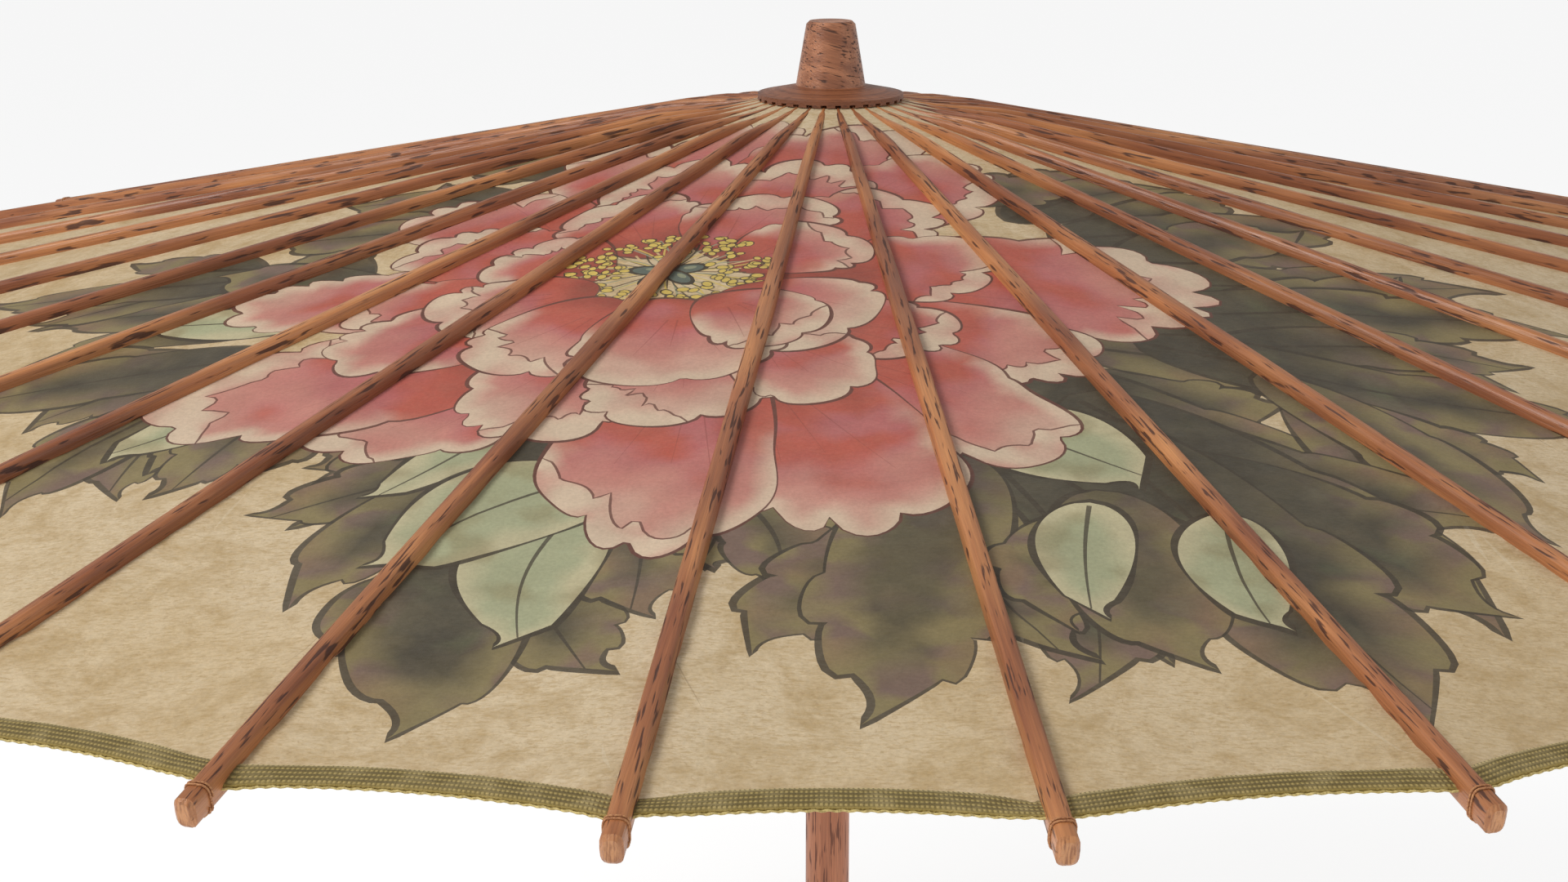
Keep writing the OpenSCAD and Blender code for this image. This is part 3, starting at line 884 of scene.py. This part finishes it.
def paintPetal(number, spot):
    dice = random.Random(300 + number)
    x0, y0, x1, y1, width, pale, lobes = spot
    shape = ((x0, y0), (x1, y1))
    outline = petalOutline(*shape, width, lobes, dice)
    line = peony["lineWidth"] * (0.65 + 0.35 * np.sin(np.linspace(0, 21, len(outline)) + number))
    paintFlat(grown(outline, line), "petalLine", 0.92)
    regions.append((outline, lambda points: petalColour(points, outline, shape, pale, number * 2.3), 0.95))
    root, length, ahead, aside = axisFrame(*shape)
    for k in range(3):
        spread = (k - 1) * 0.24 + dice.uniform(-0.05, 0.05)
        u = np.linspace(0.22, dice.uniform(0.55, 0.78), 10)
        curve = spread * width * (u ** 1.1) * 1.1
        crease = root + np.outer(u * length, ahead) + np.outer(curve, aside)
        paintFlat(brushLine(crease, 0.5, 0.12), "petalCrease", 0.45)
    if dice.random() < peony["turnedOver"]:
        lip = petalLip(outline, shape, lobes, dice.uniform(0.16, 0.26) * width, dice)
        paintFlat(grown(lip, peony["lineWidth"] * 0.55), "petalLine", 0.85)
        regions.append((lip, lambda points: lipColour(points, lip, number * 1.3), 0.96))


def blob(x, y, radius, stretch=1.0, turn=0.0, count=8):
    turns = np.linspace(0, math.tau, count, endpoint=False)
    across, along = radius * np.cos(turns), radius * stretch * np.sin(turns)
    c, s = math.cos(turn), math.sin(turn)
    return np.stack([x + across * c - along * s, y + across * s + along * c], 1)


def paintHeart():
    dice = random.Random(77)
    cx, cy = peony["middle"]
    for k in range(70):
        turn = math.tau * k / 70 + dice.uniform(-0.05, 0.05)
        reach = dice.uniform(15, 24)
        t = np.linspace(0.25, 1, 6)
        bow = dice.uniform(-2, 2) * np.sin(math.pi * t)
        x = cx + reach * 1.12 * t * math.cos(turn) - bow * math.sin(turn)
        y = cy + reach * t * math.sin(turn) + bow * math.cos(turn)
        ink = ("stamenPale", "line", "stamen", "heartPale")[k % 4]
        paintFlat(brushLine(np.stack([x, y], 1), 0.45, 0.7), ink, 0.85)
    for k in range(5):
        turn = math.tau * k / 5 + 0.3
        x, y = cx + 5.5 * math.cos(turn), cy + 5.0 * math.sin(turn)
        paintFlat(blob(x, y, 3.4, 1.9, turn - math.pi / 2, 14), "line")
        paintFlat(blob(x, y, 2.5, 1.9, turn - math.pi / 2, 14), "heart")
        paintFlat(blob(x + 0.8, y + 0.8, 1.0, 1.9, turn - math.pi / 2, 10), "heartPale", 0.8)
    for k in range(190):
        turn = dice.uniform(0, math.tau)
        reach = 10 + 16 * math.sqrt(dice.random())
        x, y = cx + reach * 1.18 * math.cos(turn), cy + reach * math.sin(turn)
        size = dice.uniform(0.8, 1.3)
        lean = dice.uniform(0, 3)
        paintFlat(blob(x, y, size + 0.4, 1.35, lean), "line", 0.8)
        paintFlat(blob(x, y, size, 1.35, lean), "stamen")


def paintTwig():
    dice = random.Random(9)
    for k in range(7):
        x, y = 118 + 5.5 * k, -214 - 3.0 * math.sin(k * 1.9)
        t = np.linspace(0, 1, 9)
        reach = dice.uniform(18, 34)
        turn = -0.35 + 0.28 * k
        path = np.stack([x + reach * t * math.cos(turn),
                         y - reach * 0.6 * t * abs(math.sin(turn)) - 4 * t * t], 1)
        paintFlat(brushLine(path, 1.5, 0.5), "line", 0.75)
        paintFlat(brushLine(path, 0.8, 0.2), "twig", 0.9)


def mintLast(item):  # the pale young leaves lie over the dark ones
    return item[1][5] == "mint"


def paintCreaseHighlightsAndScratches():  # painted highlights, as pale streaks where the paper's creases beside the ribs catch the light, and fine scratches in the oiled paper
    dice = random.Random(21)
    for k in range(110):
        rank = dice.randrange(ribCount)
        radius = dice.uniform(250, 400)
        reach = dice.uniform(8, 30)
        turn = ribAngle(rank) + dice.choice((-1, 1)) * dice.uniform(4, 9) / radius
        x, y = radius * math.cos(turn), radius * math.sin(turn)
        lean = turn + dice.uniform(-0.7, 0.7)
        t = np.linspace(-0.5, 0.5, 7)
        bow = dice.uniform(-0.12, 0.12) * reach * t * t
        across = np.stack([x + reach * t * math.cos(lean) - bow * math.sin(lean),
                           y + reach * t * math.sin(lean) + bow * math.cos(lean)], 1)
        thin = 0.15 + dice.uniform(0.5, 1.3) * np.cos(math.pi * t)
        pale = k % 3
        # two strokes in three are painted highlights on the creases, the rest are dark scratches
        if pale:
            paintFlat(brushLine(across, thin), "crease", 0.2)
        else:
            paintFlat(brushLine(across, thin * 0.3), "scratch", 0.35)


paintCreaseHighlightsAndScratches()
paintTwig()
for number, spot in sorted(enumerate(foliage["leaves"]), key=mintLast):
    paintLeaf(number, spot)
petals = peony["outer"] + peony["middleRing"]
for number, spot in enumerate(petals):
    paintPetal(number, spot)
for number, spot in enumerate(peony["cup"][:4]):
    paintPetal(50 + number, spot)
paintHeart()
for number, spot in enumerate(peony["cup"][4:]):
    paintPetal(60 + number, spot)
print("painted shapes:", len(regions))


canopy = {
    "innerRadius": 22.6,     # in millimetres, as is the plan that the painting is drawn on
    "underBand": 3.0,
    "rings": 60,
    "strips": 8,             # across each pair of half panels
    "pucker": 0.00045,
}


def panelOffset(x, y):  # angle from the middle of the nearest panel
    turn = (np.arctan2(y, x) + math.pi / 2) / gap
    return (turn - np.round(turn)) * gap


def rimAt(offset, inset=0.0):  # radius of the rim at an angle from a panel's middle
    bow = 1 - (offset / (gap / 2)) ** 2
    across = rimRadius * math.cos(gap / 2) - umbrella["scoop"] * bow * math.cos(slope)
    return across / np.cos(offset) - inset * math.cos(slope)


def canopyHeight(x, y):
    offset = panelOffset(x, y)
    radius = np.hypot(x, y)
    share = offset / (gap / 2)
    outness = np.clip(radius / rimRadius, 0, 1.1)
    sag = umbrella["paperSag"] * outness ** 2 * (1 - share ** 2)
    number = np.floor((np.arctan2(y, x) + math.pi / 2) / gap)
    fromRib = (1 - np.abs(share)) * radius * gap / 2
    ripple = np.sin(radius * 210 + number * 2.4 + share * 2) + 0.6 * np.sin(radius * 460 + number * 5.1)
    nearRib = np.exp(-((fromRib - 0.004) / 0.006) ** 2)
    pucker = canopy["pucker"] * ripple * nearRib * smooth(outness, 0.6, 0.98)
    return umbrella["apexHeight"] - radius * np.cos(offset) * panelFall - sag + pucker


def canopyNormals(x, y):
    step = 0.0012
    fallX = (canopyHeight(x + step, y) - canopyHeight(x - step, y)) / (2 * step)
    fallY = (canopyHeight(x, y + step) - canopyHeight(x, y - step)) / (2 * step)
    normal = np.stack([-fallX, -fallY, np.ones_like(fallX)], 1)
    return normal / np.linalg.norm(normal, axis=1)[:, None]


def canopyNet():  # points and needed edges of the plain skin, in millimetres
    spokes = ribCount * canopy["strips"]
    points, edges = [], []
    for j in range(spokes):
        turn = -math.pi / 2 + gap * j / canopy["strips"]
        c, s = math.cos(turn), math.sin(turn)
        outer = float(rimAt(panelOffset(c, s), umbrella["bandWidth"] - canopy["underBand"] / 1000)) * 1000
        for k in range(canopy["rings"] + 1):
            radius = canopy["innerRadius"] + (outer - canopy["innerRadius"]) * k / canopy["rings"]
            points.append((radius * c, radius * s))
    size = canopy["rings"] + 1
    for j in range(spokes):
        following = (j + 1) % spokes
        edges += [(j * size, following * size), (j * size + size - 1, following * size + size - 1)]
        if j % (canopy["strips"] // 2) == 0:
            edges += [(j * size + k, j * size + k + 1) for k in range(size - 1)]
    return points, edges


def addOutline(points, edges, outline):
    start = len(points)
    points += [tuple(p) for p in outline]
    edges += [(start + k, start + (k + 1) % len(outline)) for k in range(len(outline))]


def inside(points, outline):
    x, y = points[:, 0], points[:, 1]
    winding = np.zeros(len(points), int)
    for (x0, y0), (x1, y1) in zip(outline, np.roll(outline, -1, 0)):
        left = (x1 - x0) * (y - y0) - (x - x0) * (y1 - y0)
        winding += ((y0 <= y) & (y1 > y) & (left > 0)).astype(int)
        winding -= ((y0 > y) & (y1 <= y) & (left < 0)).astype(int)
    return winding != 0


def paintedSkin():  # all the canopy's triangles on the plan, with their gore and paint
    points, edges = canopyNet()
    for outline, colour, cover in regions:
        addOutline(points, edges, outline)
    cut = delaunay_2d_cdt([Vector(p) for p in points], edges, [], 0, 1e-3, False)
    plan = np.array([tuple(p) for p in cut[0]])
    faces = np.array([tuple(f) for f in cut[2] if len(f) == 3])
    middle = plan[faces].mean(1)
    radius = np.hypot(middle[:, 0], middle[:, 1])
    offset = panelOffset(middle[:, 0], middle[:, 1])
    outer = rimAt(offset, umbrella["bandWidth"] - canopy["underBand"] / 1000) * 1000
    keep = (radius > canopy["innerRadius"] * 0.999) & (radius < outer * 1.0002)
    faces, middle = faces[keep], middle[keep]
    colours = np.zeros((len(faces), 3, 4), np.float32)
    corners = plan[faces]
    for outline, colour, cover in regions:              # each wash goes over those before it
        low, high = outline.min(0), outline.max(0)
        near = np.flatnonzero(np.all((middle >= low) & (middle <= high), 1))
        chosen = near[inside(middle[near], outline)]
        if len(chosen):
            under = colours[chosen]
            over = colour(corners[chosen].reshape(-1, 2)).reshape(-1, 3, 3)
            bare = under[:, :, 3:] < 0.01
            colours[chosen, :, :3] = np.where(bare, over, under[:, :, :3] * (1 - cover) + over * cover)
            colours[chosen, :, 3] = 1 - (1 - under[:, :, 3]) * (1 - cover)
    gore = np.floor((np.arctan2(middle[:, 1], middle[:, 0]) + math.pi / 2) / gap).astype(int) % ribCount
    return plan / 1000, faces, gore, colours


def makeGore(number, plan, faces, colours):
    used, corners = np.unique(faces, return_inverse=True)
    corners = corners.reshape(-1, 3)
    x, y = plan[used, 0], plan[used, 1]
    points = np.stack([x, y, canopyHeight(x, y)], 1)
    first, second, third = (points[corners[:, k]] for k in range(3))
    turned = np.cross(second - first, third - first)
    flip = turned[:, 2] < 0
    corners[flip] = corners[flip][:, ::-1]
    colours = np.where(flip[:, None, None], colours[:, ::-1], colours)
    name = f"canopyPaper_{number + 1:02d}"
    piece = makePiece(name, points, corners, nodeName(number), finishes["paper"])
    layer = piece.data.color_attributes.new("paint", "FLOAT_COLOR", "CORNER")
    layer.data.foreach_set("color", colours.astype(np.float32).ravel())
    piece.data.normals_split_custom_set_from_vertices(canopyNormals(x, y))
    return piece


def foldWithRib(piece, number):  # gives the piece its own copy of its mesh; nothing here makes the paper and band close up between folded ribs
    angle = ribAngle(number)
    f"{nodeName(number)}_fold"
    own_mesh(piece)


plan, skinFaces, gore, skinColours = paintedSkin()
print("canopy triangles:", len(skinFaces))
gores = []
for number in range(ribCount):
    mine = gore == number
    gores.append(makeGore(number, plan, skinFaces[mine], skinColours[mine]))
    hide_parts("canopy_paper")
print("canopy made")


band = {
    "width": umbrella["bandWidth"],
    "thickness": 0.0011,
    "under": 0.0062,
    "stations": 24,
    "threadRadius": 0.00024,
    "stitches": 30,
}


def rimSection():  # inward distance from the rim and height off the paper, round the folded edge
    half = band["thickness"] / 2
    return [(band["width"], half * 0.55), (band["width"] - 0.0007, half), (0.0040, half * 1.05), (0.0012, half),
            (0.0003, half * 0.6), (0.0, 0.0), (0.0003, -half * 0.6), (0.0012, -half), (0.0040, -half),
            (band["under"], -half * 0.8)]


def makeBand(number):
    turns = ribAngle(number) - gap / 2 + gap * np.arange(band["stations"] + 1) / band["stations"]
    section = rimSection()
    rings, marks = [], []
    for turn in turns:
        offset = float(panelOffset(math.cos(turn), math.sin(turn)))
        if abs(turn - turns[0]) < 1e-9 or abs(turn - turns[-1]) < 1e-9:
            offset = 0.0
        rim = float(rimAt(offset))
        ring, ringMarks = [], []
        for inward, rise in section:
            radius = rim - inward * math.cos(slope)
            x, y = radius * math.cos(turn), radius * math.sin(turn)
            lift = rise + 0.00012 * noise.noise(Vector((x * 300, y * 300, rise * 3000)))
            ring.append([x, y, float(canopyHeight(x, y)) + lift])
            ringMarks.append([turn * rimRadius, band["width"] + (-inward if rise >= 0 else inward), 0])
        rings.append(ring)
        marks.append(ringMarks)
    points, faces = loft(rings, closed=False)
    faces = [tuple(reversed(face)) for face in faces]
    piece = makePiece(f"rimBand_{number + 1:02d}", points, faces, nodeName(number),
                      finishes["binding"])
    giveMark(piece, "weave", "FLOAT_VECTOR", "POINT", np.array(marks).reshape(-1, 3))
    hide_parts("rim_band")
    return piece


def makeEdgeThread(number):
    steps = band["stitches"] * 4
    path, radii = [], []
    for k in range(steps + 1):
        turn = ribAngle(number) - gap / 2 + gap * k / steps
        offset = float(panelOffset(math.cos(turn), math.sin(turn))) if 0 < k < steps else 0.0
        radius = float(rimAt(offset)) + 0.0002
        x, y = radius * math.cos(turn), radius * math.sin(turn)
        swing = math.sin(math.tau * k / 4)
        path.append([x, y, float(canopyHeight(x, y)) + 0.00012 * swing])
        radii.append(band["threadRadius"] * (1 + 0.22 * math.cos(math.tau * k / 4)))
    points, faces = tube(path, radii, 6)
    return makePiece(f"goldThread_{number + 1:02d}", points, faces, nodeName(number),
                     finishes["edgeThread"])


for number in range(ribCount):
    strip, edge = makeBand(number), makeEdgeThread(number)
    f"ribWood_{number + 1:02d}"
    for piece in (gores[number], strip, edge):
        foldWithRib(piece, number)
print("rim made")


turnedFinishes = {
    "finial": "finial", "cap_disc": "cap", "head_hub": "hub", "head_cord": "cord", "head_pin": "peg",
    "pole": "pole", "runner": "hub", "runner_cord": "cord", "catch_lever": "catch", "catch_pin": "catch_pin",
    "handle": "handle", "handle_ring": "ring", "handle_pin": "peg",
}

for name, finish in turnedFinishes.items():
    mesh = frame["nodes"][name].data
    mesh.materials.clear()
    mesh.materials.append(finishes[finish])


studio = {
    "floorTone": 0.35,
    "floorGlow": 0.77,
    "overhead": 0.42,        # strength of the light from above, and of the paler band along the horizon
    "horizon": 0.93,
    "bandTop": 0.26,
    "keyPower": 22,
    "fillPower": 3,
}


def makeFloor():
    mesh = bpy.data.meshes.new("floor")
    mesh.from_pydata([(-40, -40, 0), (40, -40, 0), (40, 40, 0), (-40, 40, 0)], [], [(0, 1, 2, 3)])
    floor = bpy.data.objects.new("floor", mesh)
    floor.location.z = -0.0005
    scene.collection.objects.link(floor)
    finish = Finish("paleFloor", 0.9)
    tone = studio["floorTone"]
    finish.shader.inputs["Specular IOR Level"].default_value = 0.0
    finish.shader.inputs["Emission Color"].default_value = (1, 1, 1, 1)
    finish.shader.inputs["Emission Strength"].default_value = studio["floorGlow"]
    mesh.materials.append(finish.done((tone, tone, tone, 1)))


def makeLight(name, place, aim, size, power):
    light = bpy.data.lights.new(name, "AREA")
    light.size = size
    light.energy = power
    holder = bpy.data.objects.new(name, light)
    holder.location = place
    holder.rotation_euler = (Vector(aim) - Vector(place)).to_track_quat("-Z", "Y").to_euler()
    scene.collection.objects.link(holder)


def makeCamera():
    lens = bpy.data.cameras.new("camera")
    lens.lens = 62.9
    lens.sensor_width = 36
    lens.clip_start, lens.clip_end = 0.02, 120
    holder = bpy.data.objects.new("camera", lens)
    holder.location = (-0.00466, -0.88398, 0.64614)
    holder.rotation_euler = (math.radians(75.43), 0, math.radians(0.672))
    scene.collection.objects.link(holder)
    scene.camera = holder


def makeWorld():
    world = bpy.data.worlds.new("studio")
    world.use_nodes = True
    nodes, links = world.node_tree.nodes, world.node_tree.links
    direction = nodes.new("ShaderNodeTexCoord")
    height = nodes.new("ShaderNodeSeparateXYZ")
    level = nodes.new("ShaderNodeMapRange")
    level.interpolation_type = "SMOOTHSTEP"
    level.inputs["From Max"].default_value = studio["bandTop"]
    level.inputs["To Min"].default_value = studio["horizon"]
    level.inputs["To Max"].default_value = studio["overhead"]
    links.new(direction.outputs["Generated"], height.inputs["Vector"])
    links.new(height.outputs["Z"], level.inputs["Value"])
    links.new(level.outputs["Result"], nodes["Background"].inputs["Strength"])
    nodes["Background"].inputs["Color"].default_value = (1, 1, 1, 1)
    scene.world = world


makeWorld()
scene.view_settings.view_transform = "Standard"
makeFloor()
makeLight("key", (-1.1, -0.7, 1.8), (0, -0.1, 0.5), 0.7, studio["keyPower"])
makeLight("fill", (1.5, -0.5, 1.3), (0, 0, 0.5), 1.2, studio["fillPower"])
makeCamera()
print("stage made")
